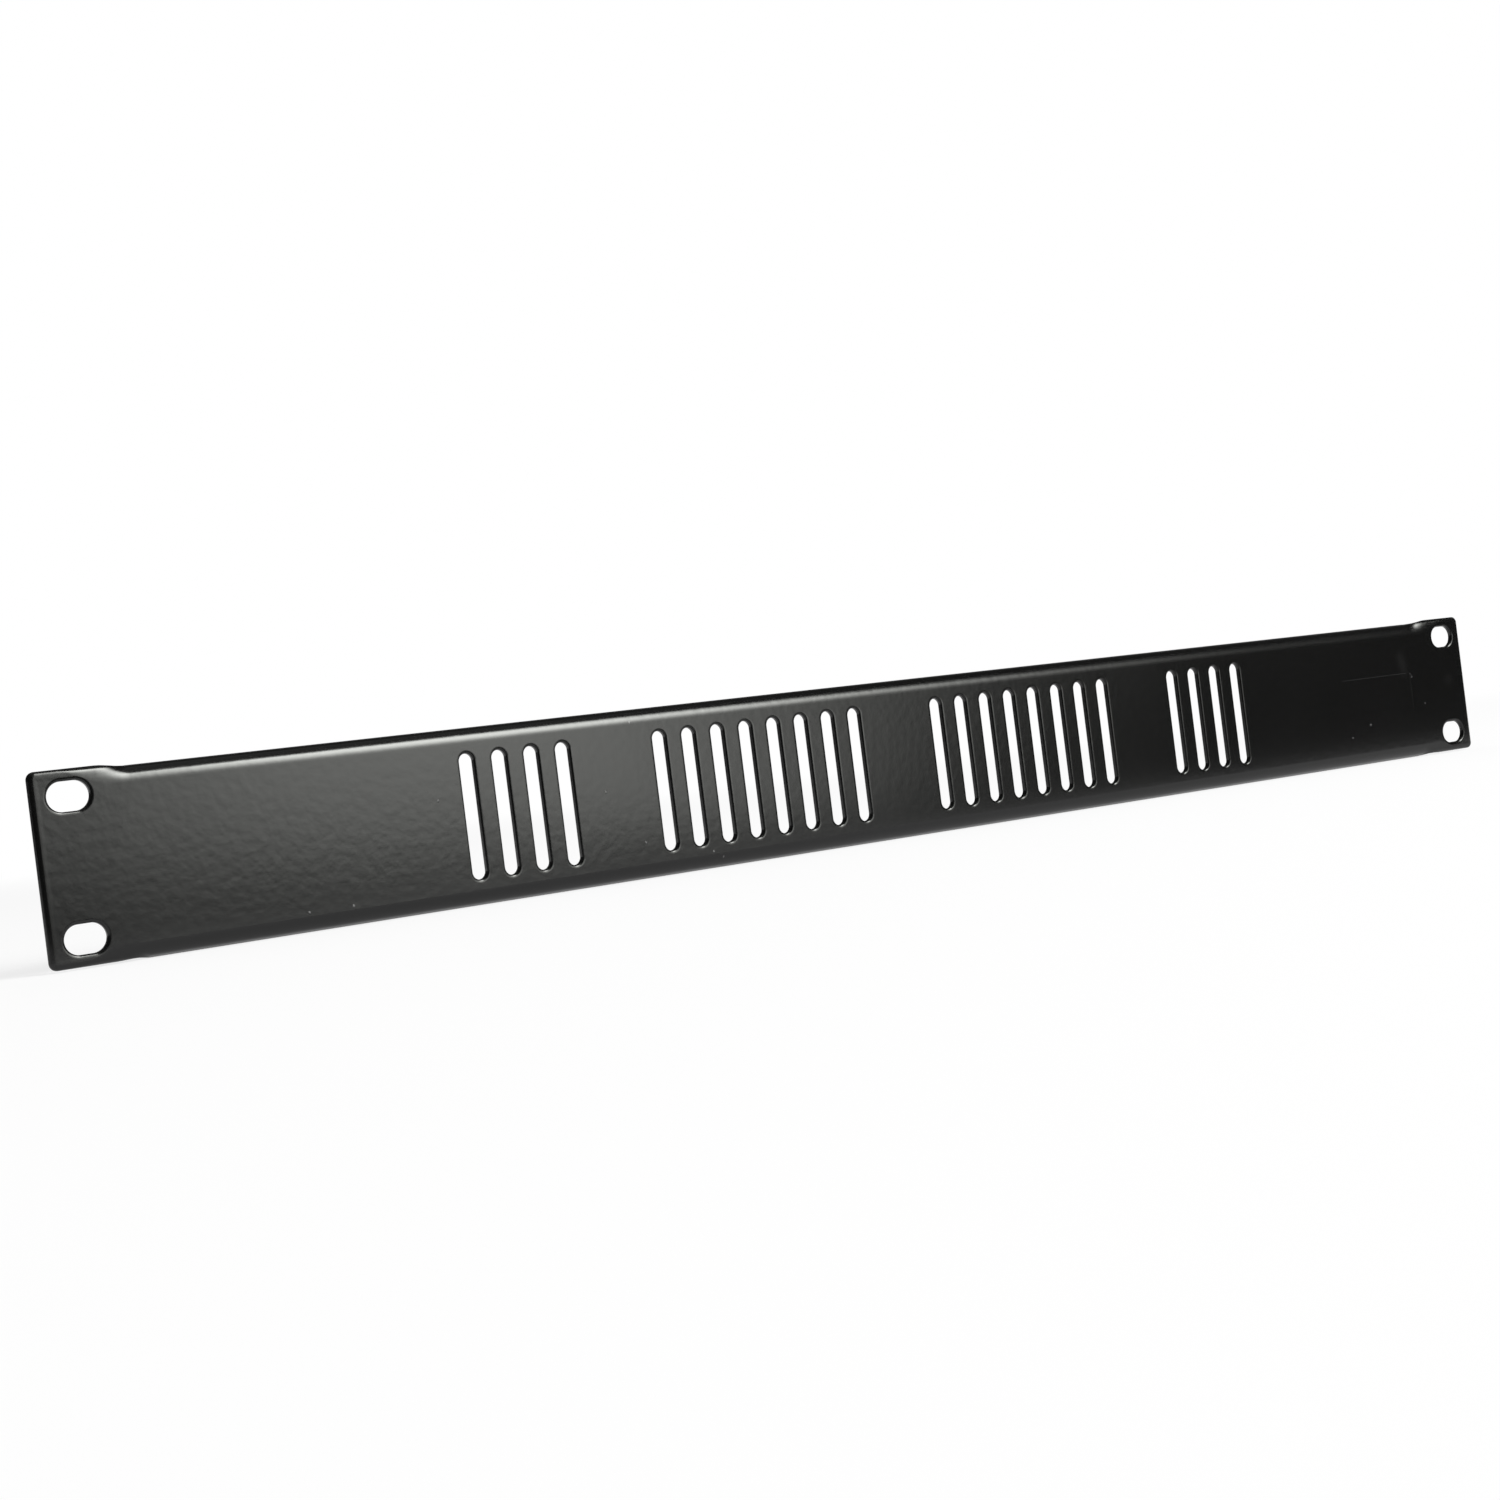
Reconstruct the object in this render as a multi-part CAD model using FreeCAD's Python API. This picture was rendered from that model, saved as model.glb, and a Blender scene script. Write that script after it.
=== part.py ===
"""Ventilated blanking panel for one unit of a 19 inch rack.

The panel is one folded steel sheet with a black powder coat. Its two flat ears
are screwed to the front of the rack's posts. Between the ears the top and
bottom edges are folded back, which stiffens the sheet, and upright vents are
punched through its face in four groups.

X runs along the panel, Y runs into the rack and Z is up. The origin is on the
rear face of the ears, in the middle of their four fixing slots. All sizes are
in millimetres.
"""
import FreeCAD, Part
import math
import os

# The sheet
sheet = 1.5
panel_width = 482.6
ear_height = 44.0
ear_corner_radius = 1.8

# The slope that punching and powder coat give to a cut edge on the front
edge_break = 0.4

# The fixing slots in the ears, the first value from the panel's end
fixing_margin = 8.75
fixing_spacing_z = 31.75
fixing_length = 9.8
fixing_width = 6.8

# The folded middle, which sits a little lower than the ears on this panel
ear_width = 23.3
fold_height_play = 0.1
fold_depth = 15.0
fold_drop = 0.5
bend_inner_radius = 2.5
flange_corner_radius = 2.0

# The short stretch beside each ear in which a fold fades out, up to a flat
# margin beside the fixing slots. An easing above 1 makes it fade quickly where
# the fold ends and slowly towards the ear.
run_out_margin = 1.65
run_out_easing = 1.6
run_out_sections = 7

# The vents, counted from the middle of the panel outwards
vent_width = 4.0
vent_length = 31.0
vent_pitch = 9.05
vent_group_gap = 28.9
inner_group_count = 8
outer_group_count = 4

# The plain sunk field near the right end
field_width = 34.0
field_height = 11.6
field_depth = 0.3
field_corner_radius = 1.0
field_wall_slope = 0.2
field_margin = 26.3
field_centre_z = -0.4

# Sizes that follow from the ones above
front_y = -sheet
rear_y = front_y + fold_depth
fixing_x = panel_width / 2 - fixing_margin
fold_end_x = panel_width / 2 - ear_width
ear_start_x = fixing_x - fixing_length / 2 - run_out_margin
run_out_length = ear_start_x - fold_end_x
fold_height = ear_height - fold_height_play
bend_outer_radius = bend_inner_radius + sheet
bend_girth = bend_outer_radius * math.pi / 2
upper_bend_z = fold_height / 2 - fold_drop - bend_outer_radius
lower_bend_z = -fold_height / 2 - fold_drop + bend_outer_radius
field_centre_x = panel_width / 2 - field_margin - field_width / 2

# The narrowest wall between two cut edges holds a break on either side
narrow_wall = (ear_height - fixing_spacing_z - fixing_width) / 2
cut_break = min(edge_break, narrow_wall / 3)


def along_y(length):
    return FreeCAD.Vector(0, length, 0)


def plate(x_low, x_high, z_low, z_high):
    """Flat rectangle of the sheet."""
    corner = FreeCAD.Vector(x_low, front_y, z_low)
    return Part.makeBox(x_high - x_low, sheet, z_high - z_low, corner)


def upright_slot(width, length):
    """Punch for an upright slot with round ends, centred on the origin."""
    side = width / 2
    reach = length / 2 - side
    low_left, high_left, high_right, low_right = [
        FreeCAD.Vector(x, front_y, z)
        for x, z in ((-side, -reach), (-side, reach), (side, reach), (side, -reach))
    ]
    top = FreeCAD.Vector(0, front_y, length / 2)
    bottom = FreeCAD.Vector(0, front_y, -length / 2)
    outline = Part.Wire([
        Part.makeLine(low_left, high_left),
        Part.Arc(high_left, top, high_right).toShape(),
        Part.makeLine(high_right, low_right),
        Part.Arc(low_right, bottom, low_left).toShape(),
    ])
    return Part.Face(outline).extrude(along_y(sheet))


def placed(tool, x, z):
    """Copy of a punch at another place in the sheet."""
    return tool.translated(FreeCAD.Vector(x, 0, z))


def vent_places():
    """X of every vent, for both halves of the panel."""
    places = []
    x = vent_group_gap / 2
    for count in (inner_group_count, outer_group_count):
        for _ in range(count):
            places += [-x, x]
            x += vent_pitch
        x += vent_group_gap - vent_pitch
    return places


def punches():
    """Every punch that goes right through the sheet."""
    vent = upright_slot(vent_width, vent_length)
    tools = [placed(vent, x, -fold_drop) for x in vent_places()]
    fixing = upright_slot(fixing_width, fixing_length)
    fixing.rotate(FreeCAD.Vector(), along_y(1), 90)
    for x in (-fixing_x, fixing_x):
        for z in (-fixing_spacing_z / 2, fixing_spacing_z / 2):
            tools.append(placed(fixing, x, z))
    return tools


def edges_through_sheet(shape):
    """The edges that run from the front of a flat piece to its rear."""
    return [edge for edge in shape.Edges if edge.BoundBox.YLength > sheet / 2]


def flat_edges(shape, y, wanted):
    """The edges in the plane of this Y whose middle point is a wanted one."""
    found = []
    for edge in shape.Edges:
        box = edge.BoundBox
        middle = edge.valueAt((edge.FirstParameter + edge.LastParameter) / 2)
        if abs(box.YMin - y) + abs(box.YMax - y) < 1e-5 and wanted(middle):
            found.append(edge)
    return found


def on_cut_edge(point):
    """True for a point on an ear's outline or on a slot, not on a bend line."""
    in_ear = abs(point.x) > ear_start_x + 1e-5
    between_bends = lower_bend_z + 1e-5 < point.z < upper_bend_z - 1e-5
    return in_ear or between_bends


def face_sheet():
    """The flat face with both ears and every slot, and its cut edges broken."""
    half_width = panel_width / 2
    half_height = ear_height / 2
    face = plate(-half_width, half_width, -half_height, half_height)
    face = face.makeFillet(ear_corner_radius, edges_through_sheet(face))
    above = plate(-ear_start_x, ear_start_x, upper_bend_z, ear_height)
    below = plate(-ear_start_x, ear_start_x, -ear_height, lower_bend_z)
    face = face.cut([above, below] + punches())
    return face.makeChamfer(cut_break, flat_edges(face, front_y, on_cut_edge))


def sunk_field():
    """Tool for the shallow plain field in the face."""
    half_x = field_width / 2
    half_z = field_height / 2
    tool = plate(-half_x, half_x, -half_z, half_z)
    tool = tool.makeFillet(field_corner_radius, edges_through_sheet(tool))
    tool.translate(FreeCAD.Vector(field_centre_x, field_depth - sheet, field_centre_z))
    floor = flat_edges(tool, front_y + field_depth, lambda point: True)
    return tool.makeChamfer(field_wall_slope, floor)


class CurledEdge:
    """Section of a sheet edge that is curled back from a bend line.

    A place in it is a distance along the outer surface from the bend line and
    a depth into the sheet. The side is 1 for the top edge and -1 for the
    bottom one.
    """

    def __init__(self, x, side, angle, girth):
        self.x = x
        self.bend_z = upper_bend_z if side > 0 else lower_bend_z
        self.side = side
        self.angle = angle
        self.girth = girth

    def point(self, distance, depth):
        """Point of the section, flat before the bend line and curved after it."""
        if distance <= 0 or self.angle == 0:
            y = depth
            rise = distance
        else:
            radius = self.girth / self.angle
            turn = distance / radius
            y = radius - (radius - depth) * math.cos(turn)
            rise = (radius - depth) * math.sin(turn)
        return FreeCAD.Vector(self.x, front_y + y, self.bend_z + self.side * rise)

    def line(self, start, end):
        return Part.makeLine(self.point(*start), self.point(*end))

    def curve(self, start, end):
        """Edge along the sheet, which is straight only where the sheet is flat."""
        if self.angle == 0:
            return self.line(start, end)
        middle = self.point((start[0] + end[0]) / 2, start[1])
        return Part.Arc(self.point(*start), middle, self.point(*end)).toShape()

    def outline(self, root):
        """Closed outline with a broken free edge and a flat root."""
        end = self.girth
        corners = [(-root, sheet), (-root, 0), (0, 0)]
        corners += [(end - edge_break, 0), (end, edge_break), (end, sheet)]
        corners += [(0, sheet)]
        edges = [self.line(corners[0], corners[1]), self.line(corners[1], corners[2])]
        edges += [self.curve(corners[2], corners[3])]
        edges += [self.line(corners[3], corners[4]), self.line(corners[4], corners[5])]
        edges += [self.curve(corners[5], corners[6]), self.line(corners[6], corners[0])]
        return Part.Wire(edges)


def run_out(side):
    """The fold fading out into the right ear, for the top or the bottom edge."""
    bend_z = upper_bend_z if side > 0 else lower_bend_z
    flat_reach = ear_height / 2 - side * bend_z
    root = sheet / 2
    outlines = []
    for step in range(run_out_sections):
        share = step / (run_out_sections - 1)
        folded = (1 + math.cos(math.pi * share)) / 2
        angle = folded * math.pi / 2 if step < run_out_sections - 1 else 0
        reach = flat_reach + (bend_outer_radius - flat_reach) * folded
        girth = reach * angle / math.sin(angle) if angle else reach
        x = fold_end_x + run_out_length * share ** run_out_easing
        outlines.append(CurledEdge(x, side, angle, girth).outline(root))
    curl = Part.makeLoft(outlines, True, False)
    low, high = sorted((bend_z, bend_z - side * ear_height))
    below_bend = plate(fold_end_x - 1, ear_start_x + 1, low, high)
    return curl.cut(below_bend)


def fold(side):
    """The bend and its flange along the whole fold, for one edge."""
    section = CurledEdge(-fold_end_x, side, math.pi / 2, bend_girth)
    bend_end_y = front_y + bend_outer_radius
    flange = rear_y - bend_end_y
    outer_z = section.point(bend_girth, 0).z
    inner_z = section.point(bend_girth, sheet).z

    def at(y, z):
        return FreeCAD.Vector(-fold_end_x, y, z)

    outline = Part.Wire([
        section.line((0, sheet), (0, 0)),
        section.curve((0, 0), (bend_girth, 0)),
        Part.makeLine(at(bend_end_y, outer_z), at(rear_y, outer_z)),
        Part.makeLine(at(rear_y, outer_z), at(rear_y, inner_z)),
        Part.makeLine(at(rear_y, inner_z), at(bend_end_y, inner_z)),
        section.curve((bend_girth, sheet), (0, sheet)),
    ])
    solid = Part.Face(outline).extrude(FreeCAD.Vector(2 * fold_end_x, 0, 0))
    corners = [
        edge for edge in solid.Edges
        if edge.BoundBox.ZLength > sheet / 2 and edge.BoundBox.YMin > rear_y - flange / 2
    ]
    return solid.makeFillet(flange_corner_radius, corners)


def mirrored(shape):
    """The same shape at the other end of the panel."""
    return shape.mirror(FreeCAD.Vector(), FreeCAD.Vector(1, 0, 0))


def vent_panel():
    """The whole panel as one solid."""
    pieces = []
    for side in (1, -1):
        end = run_out(side)
        pieces += [fold(side), end, mirrored(end)]
    panel = face_sheet().fuse(pieces).removeSplitter()
    panel = panel.cut(sunk_field())
    return panel.Solids[0]


os.makedirs("parts", exist_ok=True)
panel = vent_panel()
panel.exportStep("parts/vent_panel.step")
box = panel.BoundBox
print("vent_panel valid", panel.isValid(), "faces", len(panel.Faces))
print("size %.2f x %.2f x %.2f mm" % (box.XLength, box.YLength, box.ZLength))
print("volume %.0f cubic mm" % panel.Volume)
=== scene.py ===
# %% [markdown]
# # A vented rack panel and its studio
#
# The object is one piece of steel sheet: two flat ears with fixing slots, a
# face with 24 punched vents, and a top and bottom edge that are folded back.
# It is coated with black powder, which leaves a satin skin with a fine orange
# peel. The packed model gives its frame and its box. This file makes a finer
# mesh of the same sheet, its finish, a pale floor and the light.

# %% The frame
import math

import bpy
from mathutils import Matrix, Vector


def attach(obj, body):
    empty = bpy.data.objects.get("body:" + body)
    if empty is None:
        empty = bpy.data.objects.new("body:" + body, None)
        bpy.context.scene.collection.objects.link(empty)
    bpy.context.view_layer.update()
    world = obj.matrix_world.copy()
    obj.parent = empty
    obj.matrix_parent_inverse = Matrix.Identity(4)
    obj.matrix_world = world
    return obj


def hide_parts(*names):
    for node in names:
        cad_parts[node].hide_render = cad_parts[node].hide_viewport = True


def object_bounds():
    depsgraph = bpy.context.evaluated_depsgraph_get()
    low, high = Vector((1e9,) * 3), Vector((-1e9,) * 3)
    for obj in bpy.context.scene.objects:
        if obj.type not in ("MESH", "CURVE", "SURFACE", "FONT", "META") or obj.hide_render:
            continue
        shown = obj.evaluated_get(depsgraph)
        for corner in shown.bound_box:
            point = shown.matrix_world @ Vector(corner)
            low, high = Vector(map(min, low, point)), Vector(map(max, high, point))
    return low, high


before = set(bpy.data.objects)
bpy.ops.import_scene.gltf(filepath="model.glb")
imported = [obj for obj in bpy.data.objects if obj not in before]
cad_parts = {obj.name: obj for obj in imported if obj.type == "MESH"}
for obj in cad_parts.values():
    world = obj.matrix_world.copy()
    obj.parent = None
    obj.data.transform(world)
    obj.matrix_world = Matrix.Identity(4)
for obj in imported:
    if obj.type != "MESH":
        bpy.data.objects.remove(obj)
cad_low, cad_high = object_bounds()
print("CAD box in mm", [round(v * 1000, 2) for v in (*cad_low, *cad_high)])

# %% [markdown]
# ## Sizes
#
# A designer gives a folded panel as a flat blank with bend lines. The sizes
# here are the same ones that the CAD model is drawn with. They are written in
# millimetres, as on a drawing, and turned into Blender's metres once. Only the
# rounding of the cut edges isn't on the drawing. It is what punching and the
# powder leave: widest on the ears' outline, and a share of that elsewhere.

# %% Sizes of the sheet
MM = 0.001
sheet = 1.5 * MM
half_width = 241.3 * MM
half_height = 22.0 * MM
ear_corner = 1.8 * MM
fold_end = 218.0 * MM
ear_start = 226.0 * MM
fold_drop = 0.5 * MM
half_flat = 17.95 * MM
bend_outer_radius = 4.0 * MM
run_out_easing = 1.6
fold_depth = 15.0 * MM
flange_corner = 2.0 * MM
upper_bend = half_flat - fold_drop
lower_bend = -half_flat - fold_drop
print("bend lines at", round(upper_bend / MM, 2), "and", round(lower_bend / MM, 2))

# %% Sizes of the slots and of the sunk field
vent_width = 4.0 * MM
vent_length = 31.0 * MM
vent_pitch = 9.05 * MM
vent_group_gap = 28.9 * MM
inner_count = 8
outer_count = 4
fixing_x = 232.55 * MM
fixing_z = 15.875 * MM
fixing_length = 9.8 * MM
fixing_width = 6.8 * MM
field_centre = (198.0 * MM, -0.4 * MM)
field_size = (34.0 * MM, 11.6 * MM)
field_corner = 1.0 * MM
field_depth = 0.3 * MM
field_slope = 0.2 * MM
print("vents", 2 * (inner_count + outer_count), "of", vent_length / MM, "mm")

# %% How far the cut edges are rounded
ear_round = 1.0 * MM
slot_round_share = 0.6
vent_round_share = 0.35
rear_round_share = 0.3
shares = (1.0, slot_round_share, vent_round_share)
print("rounded by", [round(ear_round * share / MM, 2) for share in shares], "mm")

# %% [markdown]
# ## Nodes written as Python
#
# Blender's node trees do the arithmetic of both the folded shape and the
# finish. Wired by hand in code they are long and hard to read. A small class
# that wraps an output socket lets plain Python operators add the Math nodes,
# and one method adds any other node with its settings and its inputs.

# %% A socket that takes part in arithmetic
class Wire:
    """An output socket that plain operators work on."""

    def __init__(self, graph, socket):
        self.graph = graph
        self.socket = socket

    def maths(self, operation, *values):
        inputs = dict(enumerate(values))
        return self.graph.node("ShaderNodeMath", {"operation": operation}, inputs)[0]

    def __add__(self, other):
        return self.maths("ADD", self, other)

    def __sub__(self, other):
        return self.maths("SUBTRACT", self, other)

    def __rsub__(self, other):
        return self.maths("SUBTRACT", other, self)

    def __mul__(self, other):
        return self.maths("MULTIPLY", self, other)

    def __truediv__(self, other):
        return self.maths("DIVIDE", self, other)

    def __rtruediv__(self, other):
        return self.maths("DIVIDE", other, self)

    def __pow__(self, other):
        return self.maths("POWER", self, other)

    def __mod__(self, other):
        return self.maths("FLOORED_MODULO", self, other)

    def __abs__(self):
        return self.maths("ABSOLUTE", self)

    def __lt__(self, other):
        return self.maths("LESS_THAN", self, other)

    def __gt__(self, other):
        return self.maths("GREATER_THAN", self, other)

    __radd__ = __add__
    __rmul__ = __mul__

    def floor(self):
        return self.maths("FLOOR", self)

    def sign(self):
        return self.maths("SIGN", self)

    def sin(self):
        return self.maths("SINE", self)

    def cos(self):
        return self.maths("COSINE", self)

    def at_most(self, other):
        return self.maths("MINIMUM", self, other)

    def at_least(self, other):
        return self.maths("MAXIMUM", self, other)

    def kept_in(self, low, high):
        return self.at_least(low).at_most(high)

    def ramp(self, start, end):
        """0 at the start, 1 at the end, and smooth between them."""
        made = self.graph.node(
            "ShaderNodeMapRange",
            {"interpolation_type": "SMOOTHSTEP"},
            {"Value": self, "From Min": start, "From Max": end},
        )
        return made["Result"]


special = [name for name in vars(Wire) if name.startswith("__")]
print("Wire has", len(special), "special names")


# %% A node that is made in one call
class Made:
    """A node whose outputs come out as wires, by name or by number."""

    def __init__(self, graph, node):
        self.graph = graph
        self.node = node

    def __getitem__(self, key):
        return Wire(self.graph, self.node.outputs[key])


class Graph:
    """A node tree and the one way in which nodes are added to it."""

    def __init__(self, tree):
        self.tree = tree

    def node(self, kind, settings=None, values=None):
        """A new node. A list as a value links all its wires to one socket."""
        node = self.tree.nodes.new(kind)
        for name, setting in (settings or {}).items():
            setattr(node, name, setting)
        for name, value in (values or {}).items():
            for part in value if isinstance(value, list) else [value]:
                self.feed(node.inputs[name], part)
        return Made(self, node)

    def feed(self, socket, value):
        if isinstance(value, Wire):
            self.tree.links.new(value.socket, socket)
        else:
            socket.default_value = value

    def xyz(self, x, y, z):
        return self.node("ShaderNodeCombineXYZ", {}, {0: x, 1: y, 2: z})[0]

    def split(self, vector):
        made = self.node("ShaderNodeSeparateXYZ", {}, {0: vector})
        return made[0], made[1], made[2]

    def mix(self, factor, first, second):
        """A colour between two others."""
        made = self.node(
            "ShaderNodeMix",
            {"data_type": "RGBA"},
            {"Factor": factor, "A": first, "B": second},
        )
        return made[2]


def grey(level):
    return (level, level, level, 1.0)


print("node helpers ready")

# %% [markdown]
# ## The blank
#
# Before it is folded the panel is a flat sheet. Where the sheet will curl it
# needs rows of faces, because a face can't bend inside itself. Where it stays
# flat it needs none, and an outline to fill is enough. So the blank is drawn
# with strips of faces beyond both bend lines, and the flat part is left as a
# ring of edges with a mark on them. X runs along the panel, Y up the blank and
# Z into the sheet. One could also model the folded shape directly, but then
# the fading ends of the folds beside the ears are much harder to get right.
#
# Filling an outline makes long thin faces that meet it at odd angles, and the
# rounding of an edge follows them, which tears its corners. A narrow band of
# regular faces along an edge keeps them away, so the ears get one each.

# %% The curl beyond a bend line
inner_rows = 6
run_out_columns = 10
ear_band = 1.3 * MM
least_turn = 1e-6


def share_folded(x):
    """1 along the fold, 0 in the ear, and a soft change in the run-out."""
    share = (abs(x) - fold_end) / (ear_start - fold_end)
    share = min(max(share, 0.0), 1.0) ** (1 / run_out_easing)
    return (1 + math.cos(math.pi * share)) / 2


def curl_length(x, side):
    """How far the curled sheet reaches past the bend line, measured along it."""
    ear_reach = half_height - side * (upper_bend if side > 0 else lower_bend)
    folded = share_folded(x)
    reach = ear_reach + (bend_outer_radius - ear_reach) * folded
    angle = folded * math.pi / 2
    return reach * angle / math.sin(angle) if angle > least_turn else reach


def row_shares(side):
    """Where the rows of a strip lie. The last one goes on as the ear's band."""
    band_start = 1 - ear_band / curl_length(ear_start, side)
    return [band_start * step / inner_rows for step in range(inner_rows + 1)] + [1.0]


def columns():
    """X of every column of the strips, close together only in the run-outs."""
    steps = [i / run_out_columns for i in range(run_out_columns + 1)]
    right = [fold_end + (ear_start - fold_end) * step**run_out_easing for step in steps]
    return [-x for x in reversed(right)] + right


print("columns in a strip", len(columns()))

# %% Corners and rings of points
corner_steps = 8


def corner(centre, radius, start):
    """Points of a quarter circle, anticlockwise from a start angle in degrees."""
    points = []
    for step in range(corner_steps + 1):
        angle = math.radians(start + 90 * step / corner_steps)
        x = centre[0] + radius * math.cos(angle)
        y = centre[1] + radius * math.sin(angle)
        points.append((x, y))
    return points


def rounded_box(centre, size, radius):
    """Closed ring of a rectangle with round corners, anticlockwise."""
    ring = []
    for turn, (right, up) in enumerate(((1, 1), (-1, 1), (-1, -1), (1, -1))):
        x = centre[0] + right * (size[0] / 2 - radius)
        y = centre[1] + up * (size[1] / 2 - radius)
        ring += corner((x, y), radius, 90 * turn)
    return ring


field_ring = rounded_box(field_centre, field_size, field_corner)
print("points round the sunk field", len(field_ring))


# %% Drawing the blank
class Blank:
    """Vertices, faces and marked edges of the flat drawing."""

    def __init__(self):
        self.points = []
        self.faces = []
        self.crisp = []
        self.edges = []

    def add(self, x, y, z=0.0):
        self.points.append((x, y, z))
        return len(self.points) - 1

    def face(self, corners, side=1, crisp=False):
        """A face, which keeps its flat shade if it is crisp."""
        self.faces.append(corners if side > 0 else corners[::-1])
        self.crisp.append(crisp)

    def chain(self, row):
        self.edges += list(zip(row, row[1:]))


def draw_strip(blank, side):
    """The strip that curls and the flange behind it. Gives the strip's rows."""
    bend = upper_bend if side > 0 else lower_bend
    xs = columns()
    rows = [
        [blank.add(x, bend + side * share * curl_length(x, side)) for x in xs]
        for share in row_shares(side)
    ]
    for low, high in zip(rows, rows[1:]):
        for i in range(len(xs) - 1):
            blank.face([low[i], low[i + 1], high[i + 1], high[i]], side)
    flange = fold_depth - bend_outer_radius
    free = bend + side * (curl_length(0, side) + flange)
    inner = free - side * flange_corner
    right = corner((fold_end - flange_corner, 0), flange_corner, 0)
    arc = [(x, inner + side * y) for x, y in right]
    ring = [rows[-1][run_out_columns], rows[-1][run_out_columns + 1]]
    ring += [blank.add(x, y) for x, y in arc]
    ring += [blank.add(-x, y) for x, y in reversed(arc)]
    blank.face(ring, side)
    return rows


def draw_ears(blank, upper, lower):
    """A band round both ears, from the end of one strip to that of the other."""
    corner_centre = (half_width - ear_corner, half_height - ear_corner)
    for side, end in ((1, -1), (-1, 0)):
        bands = []
        for radius, row in ((ear_corner, -1), (ear_corner - ear_band, -2)):
            top = corner(corner_centre, radius, 0)
            bottom = [(x, -y) for x, y in reversed(top)]
            path = [blank.add(side * x, y) for x, y in bottom + top]
            bands.append([lower[row][end], *path, upper[row][end]])
        outer, inner = bands
        for i in range(len(outer) - 1):
            blank.face([outer[i], outer[i + 1], inner[i + 1], inner[i]], side)
        ring = [row[end] for row in lower[:-2]] + inner
        blank.chain(ring + [row[end] for row in reversed(upper[:-2])])


def draw_field(blank):
    """The sloping wall and the floor of the sunk field."""
    inner_size = [length - 2 * field_slope for length in field_size]
    inner_ring = rounded_box(field_centre, inner_size, field_corner - field_slope)
    outer = [blank.add(x, y) for x, y in field_ring]
    inner = [blank.add(x, y, -field_depth) for x, y in inner_ring]
    for i in range(len(outer)):
        after = (i + 1) % len(outer)
        wall = [outer[i], outer[after], inner[after], inner[i]]
        blank.face(wall, crisp=True)
    blank.face(inner)
    blank.chain(outer + outer[:1])


blank = Blank()
upper_rows = draw_strip(blank, 1)
lower_rows = draw_strip(blank, -1)
for bend_row in (upper_rows[0], lower_rows[0]):
    blank.chain(bend_row)
draw_ears(blank, upper_rows, lower_rows)
draw_field(blank)
print("blank has", len(blank.points), "points and", len(blank.faces), "faces")


# %% The blank as a mesh with its outline marked
def blank_mesh(drawing):
    mesh = bpy.data.meshes.new("vented_sheet")
    in_faces = set()
    for face in drawing.faces:
        for pair in zip(face, face[1:] + face[:1]):
            in_faces.add(frozenset(pair))
    marked = [frozenset(edge) for edge in drawing.edges]
    loose = [tuple(edge) for edge in marked if edge not in in_faces]
    mesh.from_pydata(drawing.points, loose, drawing.faces)
    outline = mesh.attributes.new("outline", "BOOLEAN", "EDGE")
    wanted = set(marked)
    flags = [frozenset(edge.vertices) in wanted for edge in mesh.edges]
    outline.data.foreach_set("value", flags)
    crisp = mesh.attributes.new("crisp", "BOOLEAN", "FACE")
    crisp.data.foreach_set("value", drawing.crisp)
    print("outline edges", sum(flags), "of", len(flags))
    return mesh


panel = bpy.data.objects.new("vented_sheet", blank_mesh(blank))
bpy.context.scene.collection.objects.link(panel)

# %% [markdown]
# ## Punching, thickening and folding with Geometry Nodes
#
# The real panel is made in this order: the vents and fixing slots are punched
# out of the flat blank, and a press then folds its long edges. Geometry Nodes
# can follow the same order, which makes every size an input that a reader can
# change. The vents repeat by a rule, so they are instances of one slot curve.
# Each copy brings its own narrow band of faces, for the same reason as the
# ears. Fill Curve then makes the flat part with all its holes, Extrude gives
# the sheet its thickness, and one Set Position folds everything by the rule of
# the bend. A boolean per slot would do as well, but it leaves worse faces.

# %% The inputs of the tree
tree = bpy.data.node_groups.new("folded sheet", "GeometryNodeTree")
for way in ("INPUT", "OUTPUT"):
    tree.interface.new_socket("Geometry", in_out=way, socket_type="NodeSocketGeometry")
sizes = {
    "Sheet": sheet,
    "Vent width": vent_width,
    "Vent length": vent_length,
    "Vent pitch": vent_pitch,
    "Group gap": vent_group_gap,
    "Vent height": -fold_drop,
    "Inner vents": inner_count,
    "Outer vents": outer_count,
    "Fixing width": fixing_width,
    "Fixing length": fixing_length,
    "Fixing X": fixing_x,
    "Fixing Z": fixing_z,
    "Half flat": half_flat,
    "Half ear height": half_height,
    "Fold end": fold_end,
    "Ear start": ear_start,
    "Bend radius": bend_outer_radius,
    "Run-out easing": run_out_easing,
    "Slot round": slot_round_share,
    "Vent round": vent_round_share,
    "Rear round": rear_round_share,
}
socket_types = {int: "NodeSocketInt", float: "NodeSocketFloat"}
input_names = {}
for name, size in sizes.items():
    socket = tree.interface.new_socket(
        name, in_out="INPUT", socket_type=socket_types[type(size)]
    )
    socket.default_value = size
    input_names[name] = socket.identifier
finish_input = tree.interface.new_socket(
    "Finish", in_out="INPUT", socket_type="NodeSocketMaterial"
)
graph = Graph(tree)
given = graph.node("NodeGroupInput")
print("inputs of the tree", len(input_names) + 1)

# %% One slot as a circle pulled apart
slot_points = 40
slot_band = 0.9 * MM


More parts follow.
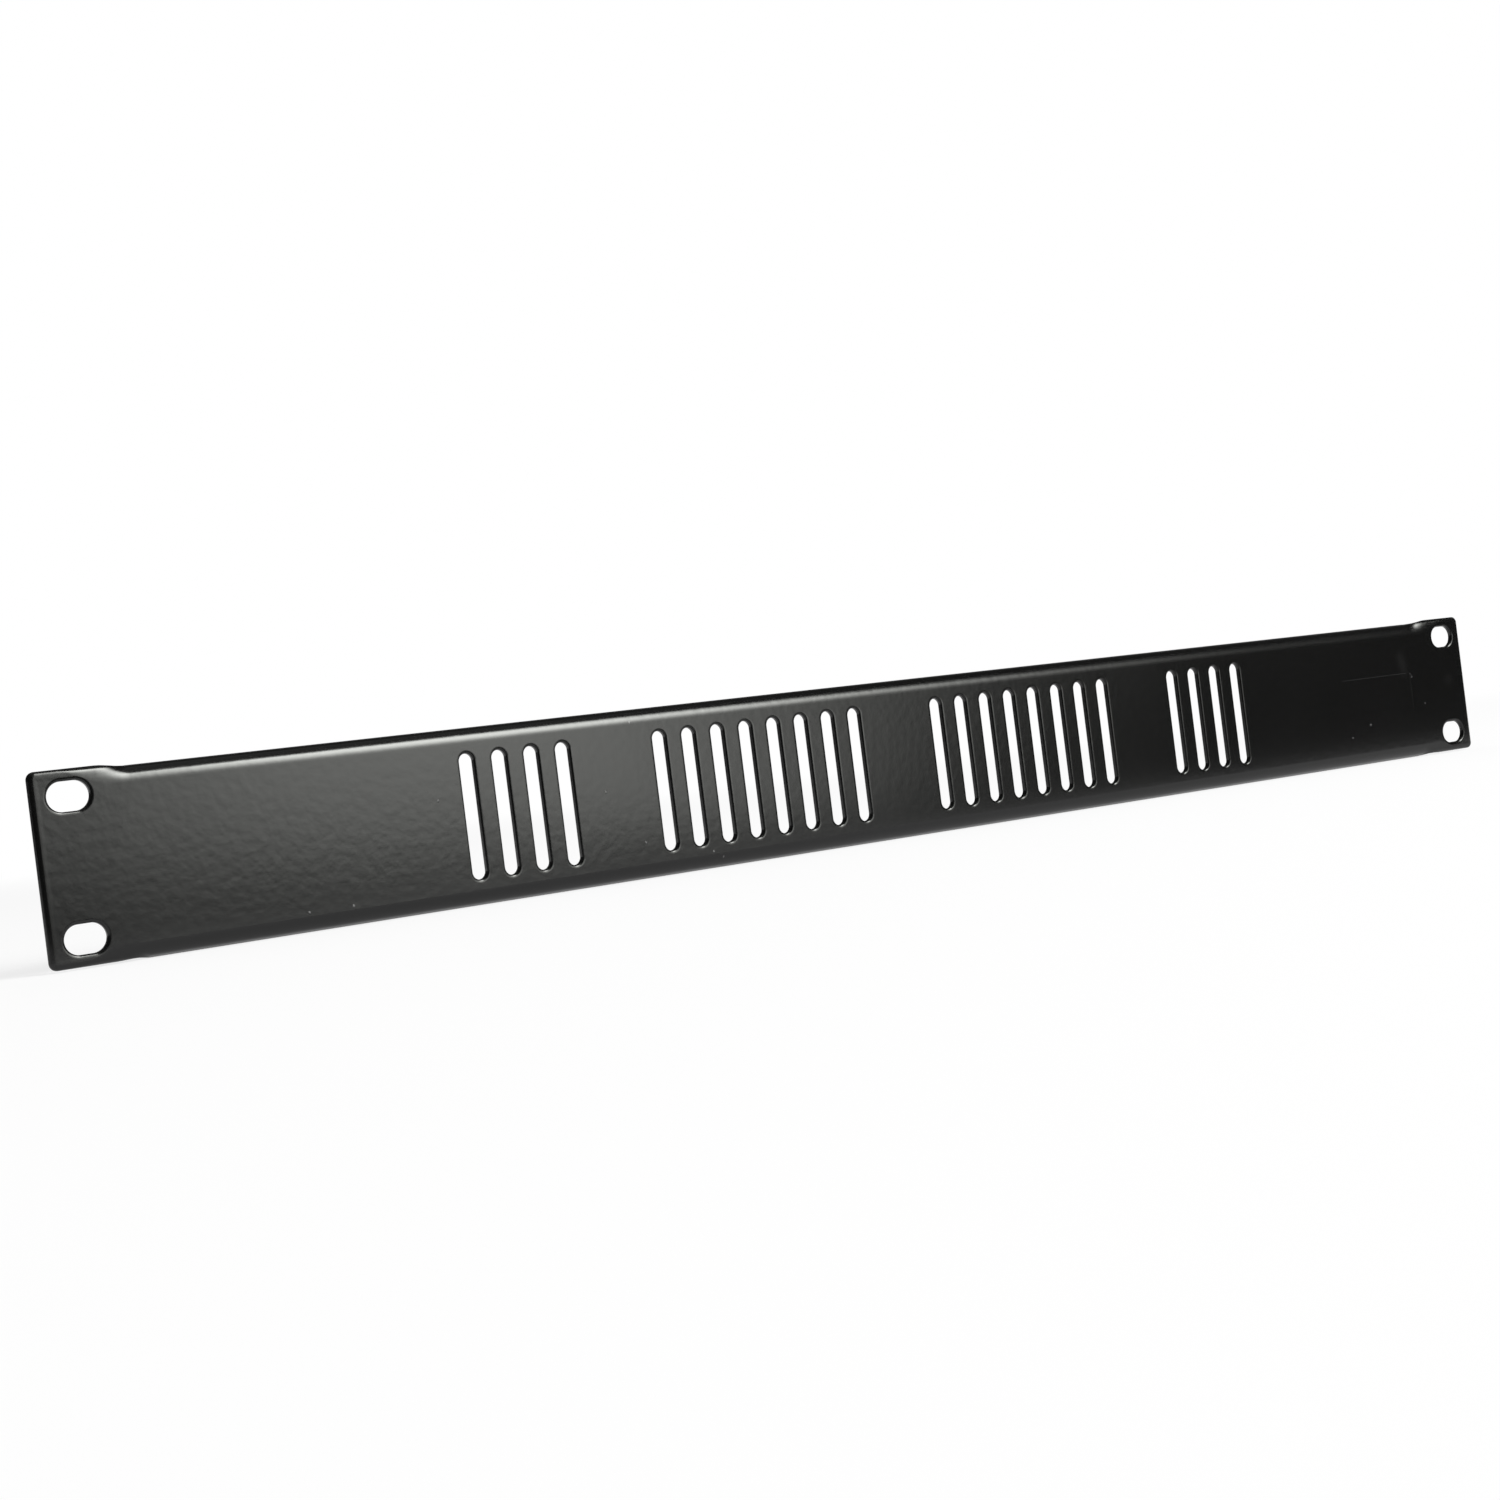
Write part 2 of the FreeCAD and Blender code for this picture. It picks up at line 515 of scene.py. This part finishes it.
def slot_curve(width, length):
    """Upright slot: a circle whose upper and lower halves move apart.

    The circle is turned by half a step, so that none of its points lies on the
    level line between the halves.
    """
    circle = graph.node(
        "GeometryNodeCurvePrimitiveCircle",
        {"mode": "RADIUS"},
        {"Resolution": slot_points, "Radius": width / 2},
    )
    turned = graph.node(
        "GeometryNodeTransform",
        {},
        {"Geometry": circle["Curve"], "Rotation": (0, 0, math.pi / slot_points)},
    )
    _, y, _ = graph.split(graph.node("GeometryNodeInputPosition")[0])
    offset = graph.xyz(0.0, y.sign() * (length - width) / 2, 0.0)
    pulled = graph.node(
        "GeometryNodeSetPosition", {}, {"Geometry": turned["Geometry"], "Offset": offset}
    )
    return pulled["Geometry"]


def slot_with_band(width, length):
    """A flat band of faces round a slot, and the curve along its outer edge."""
    across = graph.node(
        "GeometryNodeCurvePrimitiveLine",
        {},
        {"Start": (0, 0, 0), "End": (slot_band, 0, 0)},
    )
    band = graph.node(
        "GeometryNodeCurveToMesh",
        {},
        {"Curve": slot_curve(width, length), "Profile Curve": across["Curve"]},
    )
    around = slot_curve(width + 2 * slot_band, length + 2 * slot_band)
    return graph.node("GeometryNodeJoinGeometry", {}, {0: [band["Mesh"], around]})[0]


def punched(slot, count, place, turn=0.0):
    """Copies of a slot at places that are worked out from each copy's number."""
    points = graph.node("GeometryNodePoints", {}, {"Count": count, "Position": place})
    copies = graph.node(
        "GeometryNodeInstanceOnPoints",
        {},
        {"Points": points["Geometry"], "Instance": slot, "Rotation": (0, 0, turn)},
    )
    return graph.node("GeometryNodeRealizeInstances", {}, {0: copies["Instances"]})[0]


print("points round a slot", slot_points)

# %% All vents and fixing slots
index = graph.node("GeometryNodeInputIndex")[0]
hand = index % 2 * 2 - 1
step = (index / 2).floor()
past_gap = step > given["Inner vents"] - 0.5
spread = given["Group gap"] / 2 + step * given["Vent pitch"]
spread = spread + past_gap * (given["Group gap"] - given["Vent pitch"])
fixing_count = 4
vents = punched(
    slot_with_band(given["Vent width"], given["Vent length"]),
    (given["Inner vents"] + given["Outer vents"]) * 2,
    graph.xyz(hand * spread, given["Vent height"], 0.0),
)
fixing_row = step * 2 - 1
fixings = punched(
    slot_with_band(given["Fixing width"], given["Fixing length"]),
    fixing_count,
    graph.xyz(hand * given["Fixing X"], fixing_row * given["Fixing Z"], 0.0),
    math.pi / 2,
)
print("nodes for the slots", len(tree.nodes))

# %% The flat part filled between its outline and the slots
weld_distance = 0.01 * MM


def marked_by(name, data_type):
    """A value that was stored on the mesh by this name."""
    made = graph.node(
        "GeometryNodeInputNamedAttribute", {"data_type": data_type}, {"Name": name}
    )
    return made["Attribute"]


def joined(*parts):
    return graph.node("GeometryNodeJoinGeometry", {}, {0: list(parts)})[0]


def welded(geometry):
    made = graph.node(
        "GeometryNodeMergeByDistance",
        {},
        {"Geometry": geometry, "Distance": weld_distance},
    )
    return made["Geometry"]


ring = graph.node(
    "GeometryNodeMeshToCurve",
    {},
    {"Mesh": given["Geometry"], "Selection": marked_by("outline", "BOOLEAN")},
)["Curve"]
curves = joined(ring, vents, fixings)
bands = graph.node("GeometryNodeSeparateComponents", {}, {0: curves})["Mesh"]
flat = graph.node("GeometryNodeFillCurve", {"mode": "NGONS"}, {"Curve": curves})["Mesh"]
faces_beside = graph.node("GeometryNodeInputMeshEdgeNeighbors")["Face Count"]
strips = graph.node(
    "GeometryNodeDeleteGeometry",
    {"domain": "EDGE", "mode": "ALL"},
    {"Geometry": given["Geometry"], "Selection": faces_beside < 0.5},
)["Geometry"]
front = welded(joined(flat, strips, bands))
print("nodes for the flat front", len(tree.nodes))

# %% Thickness
# The rear is drawn a good way below the front, so that it is easy to pick, and
# then brought up to the sheet's thickness.
parting = 0.01
below = graph.node(
    "GeometryNodeExtrudeMesh",
    {"mode": "FACES"},
    {
        "Mesh": front,
        "Offset": graph.xyz(0.0, 0.0, -1.0),
        "Offset Scale": parting,
        "Individual": False,
    },
)
walled = graph.node(
    "GeometryNodeStoreNamedAttribute",
    {"data_type": "FLOAT", "domain": "FACE"},
    {"Geometry": below["Mesh"], "Name": "wall", "Value": below["Side"]},
)["Geometry"]
x, y, z = graph.split(graph.node("GeometryNodeInputPosition")[0])
levelled = graph.node(
    "GeometryNodeSetPosition",
    {},
    {
        "Geometry": walled,
        "Selection": z < -parting / 2,
        "Position": graph.xyz(x, y, given["Sheet"] * -1),
    },
)["Geometry"]
flipped = graph.node("GeometryNodeFlipFaces", {}, {"Mesh": levelled})["Mesh"]
solid = welded(joined(front, flipped))
print("nodes for the thick sheet", len(tree.nodes))

# %% [markdown]
# The cut edges are rounded at the very end, but they are easiest to tell apart
# while the sheet is flat. A cut edge has one wall face and one flat face
# beside it, so its average of the wall mark is a half. Each gets a weight, the
# share of the full rounding: all of it on the ears' outline, less at the
# fixing slots and at the vents' ends, and least along the vents and the
# flanges. On the rear all of them get a fraction of that.

# %% The weight of each cut edge
play = 0.1 * MM
rim_average, average_play = 0.5, 0.1
rear_from = -0.9
wall_share = graph.node(
    "GeometryNodeFieldOnDomain",
    {"data_type": "FLOAT", "domain": "EDGE"},
    {0: marked_by("wall", "FLOAT")},
)[0]
on_rim = 1 - (abs(wall_share - rim_average) > average_play)
on_rear = z / given["Sheet"] < rear_from
in_slot_row = abs(y) < given["Fixing Z"] + given["Fixing width"] / 2 + play
inside_ear = abs(x) < given["Fixing X"] + given["Fixing length"] / 2 + play
on_outline = 1 - in_slot_row * inside_ear
near_ear = abs(x).ramp(given["Fold end"], given["Ear start"]) * on_outline
height = y - given["Vent height"]
vent_reach = given["Vent length"] / 2
vent_end = abs(height).ramp(vent_reach - given["Vent width"] / 2, vent_reach)
vent_end = vent_end * (abs(height) < given["Half flat"])
at_slot_round = vent_end.at_least(abs(x) > given["Ear start"])
more_than_vent = given["Slot round"] - given["Vent round"]
slot_share = given["Vent round"] + more_than_vent * at_slot_round
width_share = slot_share + (1 - slot_share) * near_ear
weight = on_rim * width_share * (1 - on_rear * (1 - given["Rear round"]))
weighted_sheet = graph.node(
    "GeometryNodeStoreNamedAttribute",
    {"data_type": "FLOAT", "domain": "EDGE"},
    {"Geometry": solid, "Name": "bevel_weight_edge", "Value": weight},
)["Geometry"]
print("nodes up to the weights", len(tree.nodes))

# %% [markdown]
# The rule of the bend is short. Past the bend line the sheet runs round a
# circle until it has turned by its full angle, and goes straight on after
# that. Along the fold that angle is a right angle. In the short run-outs it
# fades to nothing, so the edge of the sheet swings up into the flat ear. An
# angle of nothing can't be divided by, so there the sheet stays as drawn.

# %% The rule of the bend
least_angle = 1e-4
no_fold = 1e-5
flange_from = 0.5
side = height.sign()
past_bend = (abs(height) - given["Half flat"]).at_least(0.0)
share = (abs(x) - given["Fold end"]) / (given["Ear start"] - given["Fold end"])
eased = share.kept_in(0.0, 1.0) ** (1 / given["Run-out easing"])
folded = (1 + (eased * math.pi).cos()) / 2
angle = (folded * (math.pi / 2)).at_least(least_angle)
ear_reach = given["Half ear height"] - side * given["Vent height"] - given["Half flat"]
reach = ear_reach + (given["Bend radius"] - ear_reach) * folded
radius = reach / angle.sin()
turn = (past_bend / radius).at_most(angle)
straight = (past_bend - radius * angle).at_least(0.0) * (folded > flange_from)
depth = z * -1
curl_y = radius - (radius - depth) * turn.cos() + straight * angle.sin()
curl_rise = (radius - depth) * turn.sin() + straight * angle.cos()
flat_rise = abs(height).at_most(given["Half flat"])
is_flat = folded < no_fold
out_y = curl_y + is_flat * (depth - curl_y)
rise = flat_rise + curl_rise + is_flat * (past_bend - curl_rise)
final_y = out_y - given["Sheet"]
final_z = given["Vent height"] + side * rise
folded_sheet = graph.node(
    "GeometryNodeSetPosition",
    {},
    {"Geometry": weighted_sheet, "Position": graph.xyz(x, final_y, final_z)},
)["Geometry"]
print("nodes up to the fold", len(tree.nodes))

# %% The end of the tree
real = graph.node("GeometryNodeRealizeInstances", {}, {0: folded_sheet})[0]
smooth = graph.node(
    "GeometryNodeSetShadeSmooth",
    {},
    {0: real, "Shade Smooth": 1 - marked_by("crisp", "BOOLEAN")},
)[0]
coated = graph.node(
    "GeometryNodeSetMaterial", {}, {"Geometry": smooth, "Material": given["Finish"]}
)["Geometry"]
graph.node("NodeGroupOutput", {}, {0: coated})
print("nodes in the tree", len(tree.nodes))

# %% [markdown]
# ## The black powder coat
#
# Powder coat is a thick dielectric skin. It is baked on, so it doesn't flow
# flat: it keeps small cells, the orange peel, which break up reflections. Its
# black is deep, its gloss is satin, and punched edges shine because the skin
# is rounded there. Two sizes of noise as bump give that, in one Principled
# shader. The real panel also has a few specks of dust and dull smudges, a thin
# bead where the powder draws together beside the ears' edges, and ears whose
# long edges are pulled back a little beside the folds. These sit at places on
# the panel, so they are worked out from its coordinates. Everything here reads
# Object coordinates, so it needs no UV map.

# %% The coat's material and its helpers
coat = bpy.data.materials.new("black_powder_coat")
coat.use_nodes = True
coat.node_tree.nodes.clear()
paint = Graph(coat.node_tree)
place = paint.node("ShaderNodeTexCoord")["Object"]


def noise(scale, detail=0.0):
    """Soft blots from 0 to 1. The scale says about how many fit in a metre."""
    made = paint.node(
        "ShaderNodeTexNoise", {}, {"Vector": place, "Scale": scale, "Detail": detail}
    )
    return made["Fac"]


def spots(places, radius, ragged):
    """1 in the middle of each of these places on the face and 0 away from it."""
    total = 0.0
    for x, z in places:
        centre = (x * MM, -sheet, z * MM)
        gap = paint.node(
            "ShaderNodeVectorMath", {"operation": "DISTANCE"}, {0: place, 1: centre}
        )
        total = (gap["Value"] + ragged).ramp(radius, 0.0) + total
    return total


print("material", coat.name)

# %% Orange peel
peel_share = 0.75
peel_mm = 0.021
peel = noise(480.0)
fine = noise(1100.0)
peel_height = (peel * peel_share + fine * (1 - peel_share)) * peel_mm * MM
print("peel up to", peel_mm, "mm high")

# %% Dust grains and smudges, at X and Z on the face in millimetres
grain_places = [
    (-168.2, -17.7), (-179.5, -17.7), (-142.9, 4.4), (-95.6, 1.2),
    (-86.0, 17.9), (-85.7, -12.9), (-65.3, -17.8), (-62.5, -19.7),
    (220.1, -5.2), (215.3, 3.8), (192.6, -9.8), (183.3, -13.1),
]
smudge_places = [(211.2, 8.8), (210.6, 11.0), (211.9, 6.2), (233.0, 1.6)]
grain_radius = 0.38 * MM
grain_mm = 0.03
smudge_radius = 3.2 * MM
smudge_strength = 0.03
ragged_mm = 0.9
ragged = (noise(1500.0, 1.0) - 0.5) * ragged_mm * MM
grain = spots(grain_places, grain_radius, ragged)
smudge = spots(smudge_places, smudge_radius, ragged)
print("grains", len(grain_places), "and smudges", len(smudge_places))

# %% The bead and the pulled-back edges of the ears
bead_inset = (0.6 * MM, 1.5 * MM, 2.4 * MM)
bead_mm = 0.01
ear_from, ear_to = 219.0 * MM, 225.0 * MM
pull_from, pull_to = 236.0 * MM, 224.0 * MM
pull_least = 0.3 * MM
pull_more_mm = 3.7
pull_slope = 0.15
along, _, upright = paint.split(place)
inset = (half_width - abs(along)).at_most(half_height - abs(upright))
in_ear = abs(along).ramp(ear_from, ear_to)
bead = inset.ramp(bead_inset[0], bead_inset[1]) * inset.ramp(bead_inset[2], bead_inset[1])
bead = bead * in_ear * bead_mm * MM
pulled_band = pull_least + abs(along).ramp(pull_from, pull_to) * pull_more_mm * MM
pulled = (abs(upright) - (half_height - pulled_band)).at_least(0.0)
pulled = pulled * pulled / pulled_band * in_ear * pull_slope
print("bead", bead_mm, "mm high")

# %% The skin
satin = 0.17
satin_change = 0.04
darkest, lightest = 0.003, 0.004
dust_grey = 0.16
cloud = noise(18.0, 3.0)
bump = paint.node(
    "ShaderNodeBump",
    {},
    {
        "Strength": 1.0,
        "Distance": 1.0,
        "Height": peel_height + bead - pulled + grain * grain_mm * MM,
    },
)["Normal"]
skin = paint.mix(cloud, grey(darkest), grey(lightest))
dust = (grain + smudge * smudge_strength).at_most(1.0)
shader = paint.node(
    "ShaderNodeBsdfPrincipled",
    {},
    {
        "Base Color": paint.mix(dust, skin, grey(dust_grey)),
        "Roughness": satin + cloud * satin_change,
        "IOR": 1.5,
        "Normal": bump,
    },
)
paint.node("ShaderNodeOutputMaterial", {}, {"Surface": shader[0]})
print("nodes in the coat", len(coat.node_tree.nodes))

# %% [markdown]
# ## From the tree to a plain mesh
#
# The tree is set on the blank. A Bevel modifier then rounds the edges that the
# tree gave a weight to, and Weighted Normal keeps the big faces flat. The
# result is read back as a plain mesh, and that mesh is the piece.

# %% The finished panel
modifier = panel.modifiers.new("folded sheet", "NODES")
modifier.node_group = tree
for name, size in sizes.items():
    modifier[input_names[name]] = size
modifier[finish_input.identifier] = coat
bevel = panel.modifiers.new("rounded edges", "BEVEL")
bevel.limit_method = "WEIGHT"
bevel.width = ear_round
bevel.segments = 3
bevel.use_clamp_overlap = False
weighted = panel.modifiers.new("flat faces", "WEIGHTED_NORMAL")
weighted.keep_sharp = True
scene_state = bpy.context.evaluated_depsgraph_get()
made_mesh = bpy.data.meshes.new_from_object(panel.evaluated_get(scene_state))
panel.modifiers.clear()
panel.data = made_mesh
made_mesh.name = "vented_sheet"
made_mesh.materials.clear()
made_mesh.materials.append(coat)
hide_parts("vent_panel")
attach(panel, "root")
print("panel has", len(made_mesh.vertices), "vertices,", len(made_mesh.polygons), "faces")

# %% [markdown]
# ## Camera
#
# The camera stands where the photograph's did: to the left of the panel and
# level with it, turned a little on its own axis. Its place, its turn and its
# lens come from a fit to the slots and corners that the photograph shows.

# %% The camera
camera_data = bpy.data.cameras.new("camera")
camera_data.sensor_width = 36.0
camera_data.lens = 56.569
camera_data.clip_start = 0.01
camera = bpy.data.objects.new("camera", camera_data)
bpy.context.scene.collection.objects.link(camera)
camera_place = Vector((-0.403369, -0.515022, 0.007953))
camera_right = Vector((0.817408, -0.562556, -0.123998))
camera_up = Vector((0.102857, -0.069264, 0.992282))
camera_back = camera_right.cross(camera_up)
camera_turn = Matrix((camera_right, camera_up, camera_back)).transposed().to_4x4()
camera.matrix_world = Matrix.Translation(camera_place) @ camera_turn
bpy.context.scene.camera = camera
print("camera looks along", [round(v, 3) for v in -camera_back])

# %% [markdown]
# ## Floor and room
#
# A black glossy thing shows what stands round it more than it shows itself.
# So the floor differs with the ray that meets it. The camera sees white ground
# with a soft shadow. Reflections see a darker floor, brighter behind the panel
# than in front. The face mirrors a curved card that only reflections see. It is
# a dark room, and a big light is painted on it as a glow with soft borders.
# That glow makes the long highlight on the top bend, and its left border gives
# the face its slow change from left to right. An area light could do the first,
# but its borders are hard. A dark flag on the floor in front of the panel keeps
# the white ground out of the lower bend.

# %% Helpers for what stands round the panel
def new_mesh(name, points, faces, material):
    mesh = bpy.data.meshes.new(name)
    mesh.from_pydata(points, [], faces)
    mesh.materials.append(material)
    thing = bpy.data.objects.new(name, mesh)
    bpy.context.scene.collection.objects.link(thing)
    return thing


def level_card(name, reach, front, back, height, material):
    """A flat rectangle, as wide as its reach on both sides."""
    points = [(-reach, front), (reach, front), (reach, back), (-reach, back)]
    points = [(x, y, height) for x, y in points]
    return new_mesh(name, points, [(0, 1, 2, 3)], material)


def plain_material(name):
    material = bpy.data.materials.new(name)
    material.use_nodes = True
    material.node_tree.nodes.clear()
    return material, Graph(material.node_tree)


print("helpers ready")

# %% The floor's material
bounced_grey = 0.8
camera_grey = 1.2
white_near, white_more = 0.75, 0.25
near_radius, far_radius = 0.5, 1.5
mirror_far, mirror_front, mirror_behind = 0.08, 0.37, 0.45
mirror_end, mirror_full = 0.5, 0.2
behind_start, behind_full = 0.015, 0.03
floor_paint, floor_graph = plain_material("white_floor")
rays = floor_graph.node("ShaderNodeLightPath")
seen = rays["Is Camera Ray"].at_least(rays["Is Transmission Ray"])
pale = floor_graph.node(
    "ShaderNodeBsdfDiffuse",
    {},
    {"Color": floor_graph.mix(seen, grey(bounced_grey), grey(camera_grey))},
)
white = floor_graph.node(
    "ShaderNodeEmission", {}, {"Color": (1, 1, 1, 1), "Strength": 1.0}
)
here = floor_graph.node("ShaderNodeTexCoord")["Object"]
here_x, here_y, _ = floor_graph.split(here)
away = (here_x * here_x + here_y * here_y) ** 0.5
beside_panel = abs(here_y).ramp(mirror_end, mirror_full)
behind_panel = here_y.ramp(behind_start, behind_full)
mirrored = mirror_far + beside_panel * (mirror_front + behind_panel * mirror_behind)
whiteness = seen * (white_near + away.ramp(near_radius, far_radius) * white_more)
whiteness = whiteness + rays["Is Glossy Ray"] * mirrored
floor_shader = floor_graph.node(
    "ShaderNodeMixShader", {}, {0: whiteness, 1: pale[0], 2: white[0]}
)
floor_graph.node("ShaderNodeOutputMaterial", {}, {"Surface": floor_shader[0]})
print("nodes in the floor", len(floor_paint.node_tree.nodes))

# %% The floor
floor_reach = 12.0
floor_z = cad_low.z
level_card("floor", floor_reach, -floor_reach, floor_reach, floor_z, floor_paint)
print("floor at", round(floor_z / MM, 2), "mm")

# %% The glow in the room, in degrees to the right of straight ahead and up
left_border, left_lean = (4.5, 25.5), 0.18
right_border, right_lean = (21.5, 44.5), 0.32
upper_border = (49.0, 58.0)
lower_border = (-7.5, -0.5)
glow_low, glow_more = 4.3, 15.6
glow_climb = (8.0, 42.0)
room_level = 0.04
below_level, below_border = 0.16, (-2.0, -10.0)
ceiling_level, ceiling_border = 0.2, (50.0, 65.0)
glow_colour = (0.985, 1.0, 0.955, 1)
degrees = 180 / math.pi
room_paint, room_graph = plain_material("studio_room")
room_place = room_graph.node("ShaderNodeTexCoord")["Object"]
toward_room = room_graph.node(
    "ShaderNodeVectorMath", {"operation": "NORMALIZE"}, {0: room_place}
)[0]
room_x, room_y, room_z = room_graph.split(toward_room)
sideways = room_x.maths("ARCTAN2", room_x, room_y * -1) * degrees
upward = room_z.maths("ARCSINE", room_z) * degrees
above = upward.at_least(0.0)
across = (sideways - above * left_lean).ramp(*left_border)
across = across * (1 - (sideways - above * right_lean).ramp(*right_border))
height_glow = glow_low + upward.ramp(*glow_climb) * glow_more
height_glow = height_glow * (1 - upward.ramp(*upper_border))
height_glow = height_glow * upward.ramp(*lower_border)
glow_level = room_level + upward.ramp(*below_border) * below_level
glow_level = glow_level + upward.ramp(*ceiling_border) * ceiling_level
glow_level = glow_level + across * height_glow
glow = room_graph.node(
    "ShaderNodeEmission", {}, {"Color": glow_colour, "Strength": glow_level}
)
room_graph.node("ShaderNodeOutputMaterial", {}, {"Surface": glow[0]})
print("nodes in the room", len(room_paint.node_tree.nodes))

# %% The room's card and the flag, which only reflections see
room_radius = 5.0
flag_reach = 5.0
flag_edge = -0.055
flag_lift = 0.001
azimuths = [math.radians(a) for a in range(-100, 101, 10)]
tilts = [math.radians(a) for a in range(-1, 152, 8)]
room_points = []
for azimuth in azimuths:
    for tilt in tilts:
        out = room_radius * math.cos(tilt)
        point = (out * math.sin(azimuth), -out * math.cos(azimuth))
        room_points.append((*point, room_radius * math.sin(tilt)))
room_faces = []
for i in range(len(azimuths) - 1):
    for j in range(len(tilts) - 1):
        here_index = i * len(tilts) + j
        next_index = here_index + len(tilts)
        room_faces.append((here_index, here_index + 1, next_index + 1, next_index))
room = new_mesh("dark_room", room_points, room_faces, room_paint)
flag = level_card(
    "dark_flag", flag_reach, -flag_reach, flag_edge, floor_z + flag_lift, room_paint
)
for card in (room, flag):
    card.visible_camera = False
    card.visible_diffuse = False
    card.visible_transmission = False
    card.visible_shadow = False
print("faces of the room", len(room_faces))

# %% [markdown]
# ## Light
#
# One big softbox stands to the right of the camera and above it, where the
# glow is painted. It lights what isn't mirrored and makes the soft shadow.
# Reflections see the glow in its place. The world fills in: it is white to the
# camera, dimmer as light on the panel, and dimmest in reflections.

# %% World
fill_level = 0.3
mirrored_level = 0.1
world = bpy.data.worlds.new("white_ground")
bpy.context.scene.world = world
world.use_nodes = True
world.node_tree.nodes.clear()
sky = Graph(world.node_tree)
paths = sky.node("ShaderNodeLightPath")
direct = paths["Is Camera Ray"].at_least(paths["Is Transmission Ray"])
strength = fill_level + direct * (1 - fill_level)
strength = strength - paths["Is Glossy Ray"] * (fill_level - mirrored_level)
background = sky.node(
    "ShaderNodeBackground", {}, {"Color": (1, 1, 1, 1), "Strength": strength}
)
sky.node("ShaderNodeOutputWorld", {}, {"Surface": background[0]})
print("nodes in the world", len(world.node_tree.nodes))

# %% The softbox
# Its power is worked out from the brightness that a mirror would show.
softbox_azimuth = math.radians(30.0)
softbox_elevation = math.radians(38.0)
softbox_distance = 3.0
softbox_width = 1.6
softbox_height = 2.2
softbox_radiance = 7.0
light = bpy.data.lights.new("key_softbox", "AREA")
light.shape = "RECTANGLE"
light.size = softbox_width
light.size_y = softbox_height
light.energy = softbox_radiance * math.pi * softbox_width * softbox_height
level_reach = math.cos(softbox_elevation)
toward = Vector((
    math.sin(softbox_azimuth) * level_reach,
    -math.cos(softbox_azimuth) * level_reach,
    math.sin(softbox_elevation),
))
facing = toward.to_track_quat("Z", "Y").to_matrix().to_4x4()
softbox = bpy.data.objects.new("key_softbox", light)
softbox.matrix_world = Matrix.Translation(toward * softbox_distance) @ facing
softbox.visible_glossy = False
bpy.context.scene.collection.objects.link(softbox)
print("softbox of", round(light.energy, 1), "W")

# %% The view
bpy.context.scene.view_settings.view_transform = "Standard"
